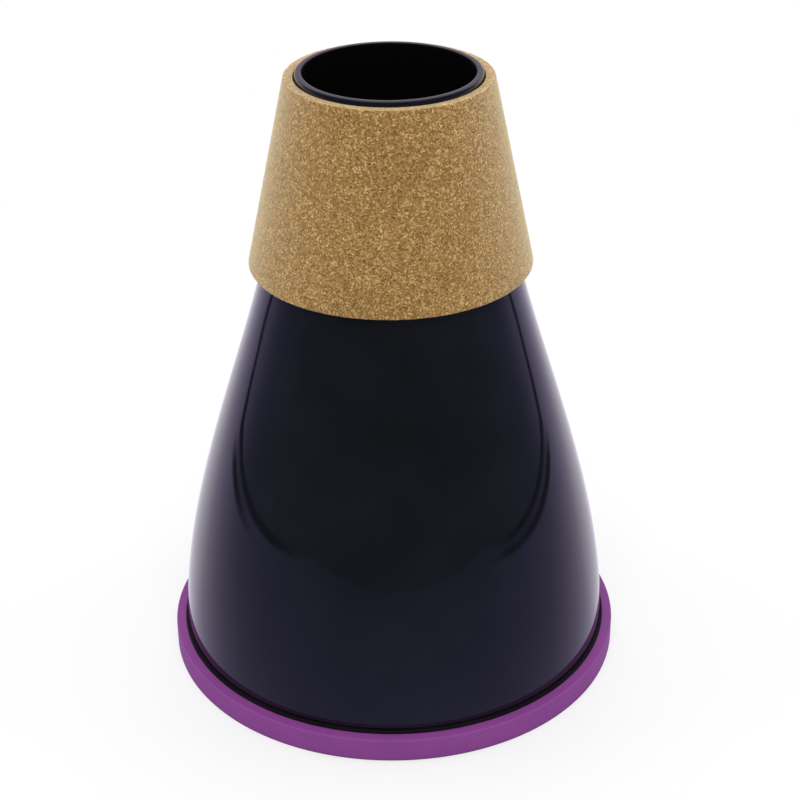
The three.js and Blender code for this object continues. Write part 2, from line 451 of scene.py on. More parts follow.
def agglomerated_cork():
    # Cork granules, pressed with binder and ground smooth: a fine speckled tan, matt, with a dusty
    # veil where it is seen at a slant.
    made, tree, shader, place = material(
        "agglomerated_cork",
        Roughness=0.62,
        IOR=1.5,
        Sheen_Weight=0.65,
        Sheen_Roughness=0.5,
        Sheen_Tint=linear("#fff3cd"),
    )
    warp = add(tree, "ShaderNodeTexNoise", {"Vector": place, "Scale": 1 / (CORK_WARP * MM), "Detail": 1.0})
    shift = add(
        tree,
        "ShaderNodeVectorMath",
        {0: warp.outputs["Color"], "Scale": CORK_WARP_REACH * MM},
        operation="SCALE",
    )
    spot = add(tree, "ShaderNodeVectorMath", {0: place, 1: shift.outputs["Vector"]}, operation="ADD")
    granule = add(
        tree,
        "ShaderNodeTexVoronoi",
        {"Vector": spot.outputs["Vector"], "Scale": 1 / (CORK_GRANULE * MM)},
    )
    pick = add(tree, "ShaderNodeSeparateColor", {"Color": granule.outputs["Color"]})
    tone = add(tree, "ShaderNodeValToRGB", {"Fac": pick.outputs["Red"]}, CORK_TONES).outputs["Color"]
    drift = add(tree, "ShaderNodeTexNoise", {"Vector": place, "Scale": 1 / (CORK_CLOUD * MM), "Detail": 2.0})
    cloud = add(
        tree,
        "ShaderNodeMapRange",
        {"Value": drift.outputs["Fac"], "From Min": 0.3, "From Max": 0.7, "To Min": 0.95, "To Max": 1.05},
    )
    whole = add(tree, "ShaderNodeVectorMath", {0: tone, "Scale": cloud.outputs["Result"]}, operation="SCALE")
    tree.links.new(whole.outputs["Vector"], shader.inputs["Base Color"])
    relief = add(
        tree,
        "ShaderNodeBump",
        {"Height": pick.outputs["Green"], "Strength": 0.4, "Distance": CORK_RELIEF * MM},
    )
    tree.links.new(relief.outputs["Normal"], shader.inputs["Normal"])
    return made


def grained_plastic(name, dark, light, grain, depth, **surface):
    """A moulded plastic with a spark-eroded grain; the grain is drawn as coarse as it needs to show."""
    made, tree, shader, place = material(name, IOR=1.5, **surface)
    scale = 1 / (PLASTIC_DRIFT * MM)
    drift = add(tree, "ShaderNodeTexNoise", {"Vector": place, "Scale": scale, "Detail": 3.0})
    tone = add(tree, "ShaderNodeValToRGB", {"Fac": drift.outputs["Fac"]}, ((0.3, dark), (0.7, light)))
    tree.links.new(tone.outputs["Color"], shader.inputs["Base Color"])
    spark = add(tree, "ShaderNodeTexNoise", {"Vector": place, "Scale": 1 / (grain * MM), "Detail": 2.0})
    relief = add(
        tree,
        "ShaderNodeBump",
        {"Height": spark.outputs["Fac"], "Strength": 0.5, "Distance": depth * MM},
    )
    tree.links.new(relief.outputs["Normal"], shader.inputs["Normal"])
    return made


def open_cell_foam():
    # Polyurethane filter foam, cut from a block: charcoal and dull, with open cells that read as
    # fine pores, sunk by a bump and darkened with painted shade.
    made, tree, shader, place = material(
        "charcoal_open_cell_foam",
        Roughness=0.95,
        IOR=1.4,
        Sheen_Weight=0.3,
        Sheen_Roughness=0.6,
    )
    cell = add(tree, "ShaderNodeTexVoronoi", {"Vector": place, "Scale": 1 / (FOAM_CELL * MM)})
    # Painted shade: each pore is coloured darkest at its middle.
    tones = ((0.0, "#17181b"), (0.35, "#2c2d32"), (0.75, "#4b4c53"))
    tone = add(tree, "ShaderNodeValToRGB", {"Fac": cell.outputs["Distance"]}, tones).outputs["Color"]
    drift = add(tree, "ShaderNodeTexNoise", {"Vector": place, "Scale": 1 / (FOAM_CLOUD * MM), "Detail": 3.0})
    cloud = add(
        tree,
        "ShaderNodeMapRange",
        {"Value": drift.outputs["Fac"], "From Min": 0.3, "From Max": 0.7, "To Min": 0.85, "To Max": 1.12},
    )
    whole = add(tree, "ShaderNodeVectorMath", {0: tone, "Scale": cloud.outputs["Result"]}, operation="SCALE")
    tree.links.new(whole.outputs["Vector"], shader.inputs["Base Color"])
    relief = add(
        tree,
        "ShaderNodeBump",
        {"Height": cell.outputs["Distance"], "Strength": 0.9, "Distance": FOAM_RELIEF * MM},
    )
    tree.links.new(relief.outputs["Normal"], shader.inputs["Normal"])
    return made


def shell_sides():
    """The shell's outer and inner side from its foot to its rim, one wall apart."""
    lean = (NECK_RADIUS - THROAT_RADIUS) / (SHELL_RIM - THROAT_DROP - COLLAR_FOOT)
    foot = Vector((SHELL_RADIUS, 0, SHELL_FOOT + SHELL_FOOT_EASE))
    neck = Vector((NECK_RADIUS, 0, COLLAR_FOOT))
    skirt = foot + Vector((0, 0, SKIRT_REACH))
    shoulder = neck + Vector((lean, 0, -1)) * SHOULDER_REACH
    throat = neck + Vector((-lean, 0, 1)) * (SHELL_RIM - 2 * RIM_EASE - COLLAR_FOOT)
    outer = geometry.interpolate_bezier(foot, skirt, shoulder, neck, SIDE_POINTS)
    outer += [neck.lerp(throat, step / NECK_POINTS) for step in range(1, NECK_POINTS + 1)]
    inner = []
    for before, here, after in zip([outer[0]] + outer, outer, outer[1:] + [outer[-1]]):
        along = (after - before).normalized()
        inner.append(here + Vector((-along.z, 0, along.x)) * SHELL_WALL)
    return outer, inner


def shell_moulding(finish):
    outer, inner = shell_sides()
    lean = (outer[-2].x - outer[-1].x) / (outer[-1].z - outer[-2].z)
    rim = SHELL_RIM - outer[-1].z
    outline = [(SHELL_RADIUS, SHELL_FOOT, SHELL_FOOT_EASE)]
    outline += [(point.x, point.z, 0) for point in outer[1:]]
    outline += [(side[-1].x - lean * rim, SHELL_RIM, RIM_EASE) for side in (outer, inner)]
    outline += [(point.x, point.z, 0) for point in reversed(inner[1:])]
    outline += [(SHELL_RADIUS - SHELL_WALL, SHELL_FOOT, SHELL_FOOT_EASE)]
    mesh = spun(outline)
    mesh.normal_update()
    inside = mesh.faces.layers.float.new("inside")
    for face in mesh.faces:
        middle = face.calc_center_median()
        face[inside] = face.normal.dot(Vector((middle.x, middle.y, 0)).normalized()) < INSIDE_TURN
    show(mesh, "shell_moulding", "shell", "top", finish)


def cork_sleeve(finish):
    outline = [
        (COLLAR_BORE_FOOT, COLLAR_FOOT, 0),
        (COLLAR_RADIUS, COLLAR_FOOT, COLLAR_EASE),
        (COLLAR_TOP_RADIUS, COLLAR_TOP, COLLAR_EASE),
        (COLLAR_BORE_TOP, COLLAR_TOP, 0),
    ]
    mesh = spun(outline, CORK_STEPS, CORK_MESH)
    mesh.normal_update()
    for vertex in mesh.verts:
        place = vertex.co / MM
        bore = COLLAR_BORE_TOP + (COLLAR_TOP - place.z) * COLLAR_BORE_LEAN
        if math.hypot(place.x, place.y) < bore + COLLAR_BORE_MARGIN:
            continue
        gaps, centres = noise.voronoi(place / CORK_PIT_SPACING)
        pitted = noise.cell(centres[0] * CORK_PIT_SEED) > CORK_PLAIN_SHARE
        pit = max(0, CORK_PIT_REACH_SHARE - gaps[0]) * CORK_PIT_DEPTH if pitted else 0
        wave = noise.noise(place / CORK_WAVE) * CORK_WAVE_DEPTH
        vertex.co += vertex.normal * (wave - pit) * MM
    show(mesh, "cork_sleeve", "cork_collar", "top", finish, weighted=False)


def base_moulding(finish):
    plate_foot = FOOT_RING_DEPTH
    plate_top = FOOT_RING_DEPTH + PLATE_THICKNESS
    foot_inner = CAP_RADIUS - CAP_EASE - FOOT_RING_WIDTH
    bead_top = SPIGOT_TOP - BEAD_DROP
    well_outer = WELL_RADIUS + WELL_WALL
    outline = [
        (WELL_RADIUS, plate_foot, PLAIN_EASE),
        (foot_inner, plate_foot, ROUND_EASE),
        (foot_inner, CAP_FOOT, PLAIN_EASE),
        (CAP_RADIUS, CAP_FOOT, CAP_EASE),
        (CAP_RADIUS, LEDGE_HEIGHT, LEDGE_EASE),
        (SPIGOT_RADIUS, LEDGE_HEIGHT, PLAIN_EASE),
        (SPIGOT_RADIUS, bead_top - BEAD_HEIGHT + BEAD_DROP, FINE_EASE),
        (SPIGOT_RADIUS + BEAD_WIDTH, bead_top - BEAD_DROP, PLAIN_EASE),
        (SPIGOT_RADIUS + BEAD_WIDTH, bead_top, FINE_EASE),
        (SPIGOT_RADIUS, SPIGOT_TOP, EDGE_EASE),
        (SPIGOT_RADIUS - SPIGOT_WALL, SPIGOT_TOP, SOFT_EASE),
        (SPIGOT_RADIUS - SPIGOT_WALL, plate_top, FULL_EASE),
        (well_outer, plate_top, FULL_EASE),
        (well_outer, WELL_TOP, ROUND_EASE),
        (WELL_HOLE, WELL_TOP, PLAIN_EASE),
        (WELL_HOLE, WELL_TOP - PLATE_THICKNESS, PLAIN_EASE),
        (WELL_RADIUS, WELL_TOP - PLATE_THICKNESS, SOFT_EASE),
    ]
    # The moulding's ejector pins and gate leave low marks on the underside of the plate.
    sunk = plate_foot + MARK_SINK
    pin_foot = plate_foot - PIN_MARK_DEPTH
    pin = [(0, pin_foot, 0), (PIN_MARK_RADIUS, pin_foot, PIN_MARK_EASE)]
    pin += [(PIN_MARK_RADIUS, sunk, 0), (0, sunk, 0)]
    marks = []
    for number in range(PIN_MARK_COUNT):
        turn = math.tau * (number + 0.5) / PIN_MARK_COUNT
        centre = (PIN_MARK_CIRCLE * math.cos(turn), PIN_MARK_CIRCLE * math.sin(turn))
        marks.append(spun(pin, PIN_MARK_STEPS, centre=centre))
    ring_foot = plate_foot - GATE_RING_DEPTH
    ring_inner = WELL_RADIUS + GATE_RING_OFFSET
    ring_outer = ring_inner + GATE_RING_WIDTH
    ring = [(ring_inner, ring_foot, GATE_RING_EASE), (ring_outer, ring_foot, GATE_RING_EASE)]
    ring += [(ring_outer, sunk, 0), (ring_inner, sunk, 0)]
    mesh = joined([spun(outline), spun(ring, SMALL_STEPS), *marks])
    show(mesh, "base_moulding", "base_cap", "base", finish)


def seal_moulding(finish):
    bore = SPIGOT_RADIUS + SEAL_GAP
    sleeve = bore + SLEEVE_THICKNESS
    outline = [
        (bore, SEAL_FOOT, 0),
        (SEAL_RADIUS, SEAL_FOOT, SEAL_EASE),
        (SEAL_RADIUS, SEAL_FOOT + SEAL_THICKNESS, SEAL_EASE),
        (sleeve, SEAL_FOOT + SEAL_THICKNESS, FINE_EASE),
    ]
    for place in RIB_PLACES:
        outline += [
            (sleeve, place - RIB_DEPTH, CRISP_EASE),
            (sleeve + RIB_DEPTH, place, EDGE_EASE),
            (sleeve, place + RIB_DEPTH, CRISP_EASE),
        ]
    outline += [(sleeve, SEAL_TOP, PLAIN_EASE), (bore, SEAL_TOP, FINE_EASE)]
    show(spun(outline), "seal_moulding", "seal_ring", "base", finish)


def bleed_drill(height, turn):
    """A drill through both walls of the tube, at a height and turned round the axis."""
    drill = bmesh.new()
    bmesh.ops.create_circle(drill, cap_ends=True, segments=BLEED_HOLE_STEPS, radius=BLEED_HOLE_RADIUS * MM)
    bmesh.ops.translate(drill, verts=drill.verts[:], vec=(0, 0, -DRILL_REACH * MM))
    pushed = bmesh.ops.extrude_face_region(drill, geom=drill.faces[:])["geom"]
    ends = [item for item in pushed if isinstance(item, bmesh.types.BMVert)]
    bmesh.ops.translate(drill, verts=ends, vec=(0, 0, 2 * DRILL_REACH * MM))
    for angle, axis in ((math.pi / 2, "Y"), (turn, "Z")):
        bmesh.ops.rotate(drill, verts=drill.verts[:], cent=(0, 0, 0), matrix=Matrix.Rotation(angle, 3, axis))
    bmesh.ops.translate(drill, verts=drill.verts[:], vec=(0, 0, height * MM))
    bmesh.ops.recalc_face_normals(drill, faces=drill.faces[:])
    return drill


def tube_turning(finish):
    root = TUBE_RADIUS - THREAD_DEPTH
    tip_root = TUBE_TIP_RADIUS - THREAD_DEPTH
    outline = [
        (BORE_RADIUS, TUBE_FOOT, ROUND_EASE),
        (root, TUBE_FOOT, EDGE_EASE),
        (root, FLANGE_FOOT - FOOT_THREAD_RUNOUT, 0),
        (TUBE_RADIUS, FLANGE_FOOT - FOOT_THREAD_RELIEF, 0),
        (TUBE_RADIUS, FLANGE_FOOT, 0),
        (FLANGE_RADIUS, FLANGE_FOOT, ROUND_EASE),
        (FLANGE_RADIUS, FLANGE_TOP, ROUND_EASE),
        (TUBE_RADIUS, FLANGE_TOP, SOFT_EASE),
        (TUBE_RADIUS, SHOULDER_HEIGHT, EDGE_EASE),
        (tip_root, SHOULDER_HEIGHT, 0),
        (tip_root, TUBE_TOP, PLAIN_EASE),
        (BORE_RADIUS, TUBE_TOP, PLAIN_EASE),
    ]
    blank = spun(outline, SMALL_STEPS)
    drills = []
    for number, height in enumerate(BLEED_ROWS):
        for turn in (0, math.pi / 2):
            drills.append(bleed_drill(height, turn + number % 2 * math.pi / 4))
    mesh = carved(blank, joined(drills), "DIFFERENCE")
    foot_thread = thread(root, TUBE_FOOT + FOOT_THREAD_START, FLANGE_FOOT - FOOT_THREAD_STOP, THREAD_DEPTH)
    tip_foot = SHOULDER_HEIGHT + TIP_THREAD_START
    tip_thread = thread(tip_root, tip_foot, TUBE_TOP - TIP_THREAD_STOP, THREAD_DEPTH)
    mesh = joined([mesh, foot_thread, tip_thread])
    show(mesh, "tube_turning", "bleed_tube", "base", finish)


def hexagon_nut(finish):
    hole = WELL_HOLE
    chamfer = NUT_CORNER * (1 - math.cos(math.pi / NUT_SIDES)) * NUT_FLAT_SHARE
    drop = chamfer * math.tan(NUT_CHAMFER_TURN)
    bar = [(0, NUT_FOOT, 0), (NUT_CORNER, NUT_FOOT, 0), (NUT_CORNER, NUT_TOP, 0), (0, NUT_TOP, 0)]
    blank = spun(bar, NUT_SIDES)
    turned = [
        (hole + NUT_LEAD, NUT_FOOT - NUT_OVERRUN, 0),
        (NUT_CORNER - chamfer, NUT_FOOT - NUT_OVERRUN, 0),
        (NUT_CORNER + NUT_MARGIN, NUT_FOOT + drop, 0),
        (NUT_CORNER + NUT_MARGIN, NUT_TOP - drop, 0),
        (NUT_CORNER - chamfer, NUT_TOP + NUT_OVERRUN, 0),
        (hole + NUT_LEAD, NUT_TOP + NUT_OVERRUN, 0),
        (hole, NUT_TOP - NUT_LEAD, 0),
        (hole, NUT_FOOT + NUT_LEAD, 0),
    ]
    mesh = carved(blank, spun(turned, SMALL_STEPS), "INTERSECT")
    inner_thread = thread(hole, NUT_FOOT + NUT_THREAD_START, NUT_TOP - NUT_THREAD_STOP, -NUT_THREAD_DEPTH)
    mesh = joined([mesh, inner_thread])
    show(mesh, "hexagon_nut", "tube_nut", "base", finish)


def ribbed_lid(finish):
    outline = [
        (0, LID_TOP - LID_DISH, 0),
        (0, LID_HOLE_TOP, 0),
        (LID_HOLE_RADIUS, LID_HOLE_TOP, 0),
        (LID_HOLE_RADIUS, LID_FOOT, FINE_EASE),
        (LID_RADIUS, LID_FOOT, EDGE_EASE),
    ]
    outline += [(LID_RADIUS - inward, LID_TOP - down, ease) for inward, down, ease in LID_CROWN]
    mesh = spun(outline, LID_STEPS)
    for vertex in mesh.verts:
        radius = math.hypot(vertex.co.x, vertex.co.y)
        step = round(math.atan2(vertex.co.y, vertex.co.x) / math.tau * LID_STEPS) % LID_RIB_STEPS
        on_side = radius > (LID_RADIUS - LID_RIB_BAND) * MM and vertex.co.z < (LID_TOP - LID_RIB_DROP) * MM
        if on_side and step < LID_GROOVE_STEPS:
            vertex.co.xy *= 1 - LID_RIB_DEPTH * MM / radius
    show(mesh, "ribbed_lid", "tube_cap", "base", finish)


def hole_tool(radius, centre):
    """A drill that eases both mouths of a hole through the baffle."""
    low = BAFFLE_FOOT - BAFFLE_OVERRUN
    high = BAFFLE_TOP + BAFFLE_OVERRUN
    wide = radius + BAFFLE_EASE
    outline = [(0, low, 0), (wide, low, 0), (radius, low + BAFFLE_EASE, 0)]
    outline += [(radius, high - BAFFLE_EASE, 0), (wide, high, 0), (0, high, 0)]
    return spun(outline, AIR_HOLE_STEPS, centre=centre)


def perforated_baffle(finish):
    outline = [(0, BAFFLE_FOOT, 0), (BAFFLE_RADIUS, BAFFLE_FOOT, BAFFLE_EASE)]
    outline += [(BAFFLE_RADIUS, BAFFLE_TOP, BAFFLE_EASE), (0, BAFFLE_TOP, 0)]
    drills = [hole_tool(HUB_HOLE_RADIUS, (0, 0))]
    for count, circle in AIR_CIRCLES:
        for number in range(count):
            turn = math.tau * number / count
            centre = (circle * math.cos(turn), circle * math.sin(turn))
            drills.append(hole_tool(AIR_HOLE_RADIUS, centre))
    mesh = carved(spun(outline), joined(drills), "DIFFERENCE")
    show(mesh, "perforated_baffle", "baffle_disc", "base", finish)


def foam_block(name, node, hole, radius, foot, top, finish):
    """A ring cut from a block of open-cell foam, which swells a little between the faces that hold it."""
    outline = [
        (hole, foot, FOAM_INNER_EASE),
        (radius, foot, FOAM_EASE),
        (radius, top, FOAM_EASE),
        (hole, top, FOAM_INNER_EASE),
    ]
    mesh = spun(outline, FOAM_STEPS, FOAM_MESH)
    mesh.normal_update()
    for vertex in mesh.verts:
        place = vertex.co / MM
        level = (place.z - foot) / (top - foot)
        swell = FOAM_BULGE * (4 * level * (1 - level) - 1)
        lumps = noise.fractal(place / FOAM_LUMP, FOAM_LUMP_FALL, FOAM_LUMP_SHRINK, FOAM_LUMP_SIZES)
        lump = (lumps - FOAM_LUMP_MIDDLE) * FOAM_LUMP_DEPTH
        gaps = noise.voronoi(place / FOAM_PORE)[0]
        pore = max(0, FOAM_PORE_SHARE - gaps[0]) * FOAM_PORE_DEPTH
        outward = Vector((place.x, place.y, 0)).normalized()
        side = abs(vertex.normal.z) < FOAM_SIDE_TILT and math.hypot(place.x, place.y) > (hole + radius) / 2
        vertex.co += outward * (swell * MM if side else 0) + vertex.normal * (lump - pore - FOAM_SINK) * MM
    piece = show(mesh, name, node, "base", finish, weighted=False)


def make_mute():
    black = gloss_black()
    cork = agglomerated_cork()
    # Polypropylene, injection moulded against a spark-eroded mould: an even purple with a silky, quiet sheen.
    purple = grained_plastic(
        "purple_moulded_polypropylene",
        "#803f86",
        "#86428a",
        grain=0.35,
        depth=0.015,
        Roughness=0.6,
        Specular_IOR_Level=0.2,
    )
    # Nitrile rubber, compression moulded: a dull, slightly dusty black.
    rubber = grained_plastic(
        "black_nitrile_rubber",
        "#0d0c10",
        "#121116",
        grain=0.6,
        depth=0.02,
        Roughness=0.7,
        Specular_IOR_Level=0.25,
    )
    # Nylon left in its natural colour: milky, waxy, and light passes a little way into it.
    nylon = grained_plastic(
        "natural_nylon",
        "#d3cebd",
        "#ddd8ca",
        grain=0.5,
        depth=0.01,
        Roughness=0.42,
        Subsurface_Weight=0.25,
        Subsurface_Scale=NYLON_GLOW_DEPTH * MM,
    )
    # Acetal, moulded in a lightly grained mould: satin black.
    satin = grained_plastic(
        "satin_black_acetal",
        "#19191d",
        "#212126",
        grain=0.4,
        depth=0.015,
        Roughness=0.38,
    )
    foam = open_cell_foam()
    shell_moulding(black)
    cork_sleeve(cork)
    base_moulding(purple)
    seal_moulding(rubber)
    tube_turning(nylon)
    hexagon_nut(satin)
    ribbed_lid(satin)
    perforated_baffle(satin)
    foam_block(
        "lower_foam_block",
        "lower_foam_ring",
        LOWER_FOAM_HOLE,
        LOWER_FOAM_RADIUS,
        LOWER_FOAM_FOOT,
        LOWER_FOAM_TOP,
        foam,
    )
    foam_block(
        "upper_foam_block",
        "upper_foam_ring",
        UPPER_FOAM_HOLE,
        UPPER_FOAM_RADIUS,
        UPPER_FOAM_FOOT,
        UPPER_FOAM_TOP,
        foam,
    )


# The white sheet that the mute stands on, as the gloss of the shell shows it, in metres: a painted glow
# of light and shade. X runs to the right of the mute and Y to the back, and a pair says from where to
# where something changes.
SHEET_MIDDLE = 0.01
SHEET_HALF_WIDTH = 0.316
SHEET_SPREAD = 0.08
SHEET_SPREAD_Y = (0.12, 0.2)
SHEET_FRONT = 0.34
SHEET_ROUNDING = 0.14
SHEET_BLEND = (0.03, 0.12)
SHEET_BLEND_Y = (0.06, 0.14)
SHEET_GLOW = 1.12
SHEET_LIP = 0.1

# The painted shadow line at the sheet's edge, single in front and double at the sides. Across it, from inside
# the sheet at 0 to outside at 1, black leaves the floor as it is and white darkens it fully.
LINE_CLEAR_Y = (-0.26, -0.14)
LINE_LOST_Y = (0.25, 0.45)
FOLD_SLANT = 0.35
FOLD_BEGUN = (-0.14, -0.06)
FOLD_ENDED_Y = (0.08, 0.12)
SINGLE_LINE = ((0.36, "#000000"), (0.44, "#ffffff"), (0.57, "#ffffff"), (0.68, "#000000"))
DOUBLE_LINE = (
    (0.12, "#000000"),
    (0.17, "#ffffff"),
    (0.26, "#ffffff"),
    (0.31, "#bcbcbc"),
    (0.4, "#bcbcbc"),
    (0.45, "#ffffff"),
    (0.56, "#ffffff"),
    (0.62, "#000000"),
)

# The room's tones and the sheet's painted light and shadow, from the camera's side at 0 to the back at 1.
ROOM_TONES = (
    (0.0, "#50535b"),
    (0.3, "#575a6c"),
    (0.525, "#5d617e"),
    (0.595, "#736c95"),
    (0.64, "#817ca4"),
    (0.68, "#938bb3"),
    (0.74, "#9790b8"),
    (0.8, "#e7e1ed"),
    (0.87, "#ffffff"),
)
SHEET_PAINTED_LIGHT = (
    (0.0, "#5b5e7e"),
    (0.15, "#6b6e8c"),
    (0.35, "#7c76a6"),
    (0.5, "#8c83b0"),
    (0.585, "#968cb8"),
    (0.665, "#ab9fc7"),
    (0.75, "#c1b5da"),
    (0.85, "#d9cfee"),
    (0.925, "#eee7fa"),
    (0.975, "#f3eeff"),
)
SHEET_TONE_REACH = (-1.5, 0.5)
SHEET_TONE_DISTANCE = 0.1

# The table, in metres: a grey that takes the lamps' light and shadow, and a glow that lifts it to white.
FLOOR_HALF_SIZE = 1.6
FLOOR_DROP = -0.1 * MM
PAPER = "#898989"
PAPER_LIFT = 0.67
SHADOW_FADE = (0.1, 0.3)
FOOT_SHADE_REACH = 2 * MM
BOUNCE = (0.1, 0.7)


def backward(tree, vector):
    """A vector's axes, its part along the ground, and how far that points to the back, from -1 to 1."""
    axes = add(tree, "ShaderNodeSeparateXYZ", {"Vector": vector})
    level = add(tree, "ShaderNodeCombineXYZ", {"X": axes.outputs["X"], "Y": axes.outputs["Y"]})
    aim = add(tree, "ShaderNodeVectorMath", {0: level.outputs["Vector"]}, operation="NORMALIZE")
    turn = add(tree, "ShaderNodeSeparateXYZ", {"Vector": aim.outputs["Vector"]})
    return axes, level.outputs["Vector"], turn.outputs["Y"]


def room_tone(tree, back):
    """The room round the table: dim and bluish on the camera's side, white behind the mute."""
    place = add(tree, "ShaderNodeMapRange", {"Value": back, "From Min": -1.0, "From Max": 1.0})
    tone = add(tree, "ShaderNodeValToRGB", {"Fac": place.outputs["Result"]}, ROOM_TONES)
    return tone.outputs["Color"]


def painted_sheet_light(tree, level, back):
    """The sheet's painted light and shade: white behind the mute, dimmer and bluer to the front and with
    distance.
    """
    far = add(tree, "ShaderNodeVectorMath", {0: level}, operation="LENGTH")
    # The tones move by half the natural logarithm of the distance over the one that they hold for.
    fall = add(tree, "ShaderNodeMath", {0: far.outputs["Value"], 1: math.e**2}, operation="LOGARITHM")
    even = add(tree, "ShaderNodeMath", {0: back, 1: fall.outputs["Value"]}, operation="SUBTRACT")
    middle = -math.log(SHEET_TONE_DISTANCE) / 2
    low, high = [middle + end for end in SHEET_TONE_REACH]
    place = add(
        tree,
        "ShaderNodeMapRange",
        {"Value": even.outputs["Value"], "From Min": low, "From Max": high},
    )
    tone = add(tree, "ShaderNodeValToRGB", {"Fac": place.outputs["Result"]}, SHEET_PAINTED_LIGHT)
    return tone.outputs["Color"]


def past_sheet(tree, axes):
    """How far a place on the floor lies outside the sheet's rounded outline, which spreads at the back."""
    aside = add(tree, "ShaderNodeMath", {0: axes.outputs["X"], 1: SHEET_MIDDLE}, operation="SUBTRACT")
    wide = add(tree, "ShaderNodeMath", {0: aside.outputs["Value"]}, operation="ABSOLUTE")
    half = add(
        tree,
        "ShaderNodeMapRange",
        {
            "Value": axes.outputs["Y"],
            "From Min": SHEET_SPREAD_Y[0],
            "From Max": SHEET_SPREAD_Y[1],
            "To Min": SHEET_HALF_WIDTH,
            "To Max": SHEET_HALF_WIDTH + SHEET_SPREAD,
        },
    )
    side = add(
        tree,
        "ShaderNodeMath",
        {0: wide.outputs["Value"], 1: half.outputs["Result"]},
        operation="SUBTRACT",
    )
    front = add(
        tree,
        "ShaderNodeMath",
        {0: axes.outputs["Y"], 1: -1.0, 2: -SHEET_FRONT},
        operation="MULTIPLY_ADD",
    )
    past = add(
        tree,
        "ShaderNodeMath",
        {0: side.outputs["Value"], 1: front.outputs["Value"], 2: SHEET_ROUNDING},
        operation="SMOOTH_MAX",
    )
    return past.outputs["Value"]


def edge_line(tree, axes, past):
    """The two painted shadow lines at the sheet's edge, which run into one in front and end towards the back.
    """
    lip = add(tree, "ShaderNodeMapRange", {"Value": past, "From Min": -SHEET_LIP, "From Max": SHEET_LIP})
    single = add(tree, "ShaderNodeValToRGB", {"Fac": lip.outputs["Result"]}, SINGLE_LINE)
    double = add(tree, "ShaderNodeValToRGB", {"Fac": lip.outputs["Result"]}, DOUBLE_LINE)
    slant = add(
        tree,
        "ShaderNodeMath",
        {0: axes.outputs["X"], 1: FOLD_SLANT, 2: axes.outputs["Y"]},
        operation="MULTIPLY_ADD",
    )
    changes = (
        (slant.outputs["Value"], FOLD_BEGUN, (0.0, 1.0)),
        (axes.outputs["Y"], FOLD_ENDED_Y, (1.0, 0.0)),
        (axes.outputs["Y"], LINE_CLEAR_Y, (0.0, 1.0)),
        (axes.outputs["Y"], LINE_LOST_Y, (1.0, 0.0)),
    )
    begun, ended, clear, lost = [
        add(
            tree,
            "ShaderNodeMapRange",
            {"Value": value, "From Min": span[0], "From Max": span[1], "To Min": ends[0], "To Max": ends[1]},
        ).outputs["Result"]
        for value, span, ends in changes
    ]
    folded = add(tree, "ShaderNodeMath", {0: begun, 1: ended}, operation="MULTIPLY")
    lines = add(
        tree,
        "ShaderNodeMix",
        {"Factor": folded.outputs["Value"], 6: single.outputs["Color"], 7: double.outputs["Color"]},
        data_type="RGBA",
    )
    held = add(tree, "ShaderNodeMath", {0: clear, 1: lost}, operation="MULTIPLY")
    line = add(tree, "ShaderNodeMath", {0: lines.outputs[2], 1: held.outputs["Value"]}, operation="MULTIPLY")
    return line.outputs["Value"]


def mirrored_floor(tree, place):
    """What the shell's gloss shows of the floor, as a painted glow: the sheet, the lines of its edge and the
    room past it.
    """
    axes, level, back = backward(tree, place)
    past = past_sheet(tree, axes)
    sheet = painted_sheet_light(tree, level, back)
    room = room_tone(tree, back)
    blend = add(
        tree,
        "ShaderNodeMapRange",
        {
            "Value": axes.outputs["Y"],
            "From Min": SHEET_BLEND_Y[0],
            "From Max": SHEET_BLEND_Y[1],
            "To Min": SHEET_BLEND[0],
            "To Max": SHEET_BLEND[1],
        },
    )
    beyond = add(tree, "ShaderNodeMapRange", {"Value": past, "From Max": blend.outputs["Result"]})
    board = add(
        tree,
        "ShaderNodeMix",
        {"Factor": beyond.outputs["Result"], 6: sheet, 7: room},
        data_type="RGBA",
    )
    line = edge_line(tree, axes, past)
    glow = add(tree, "ShaderNodeMath", {0: SHEET_GLOW, 1: line}, operation="SUBTRACT")
    return add(tree, "ShaderNodeEmission", {"Color": board.outputs[2], "Strength": glow.outputs["Value"]})


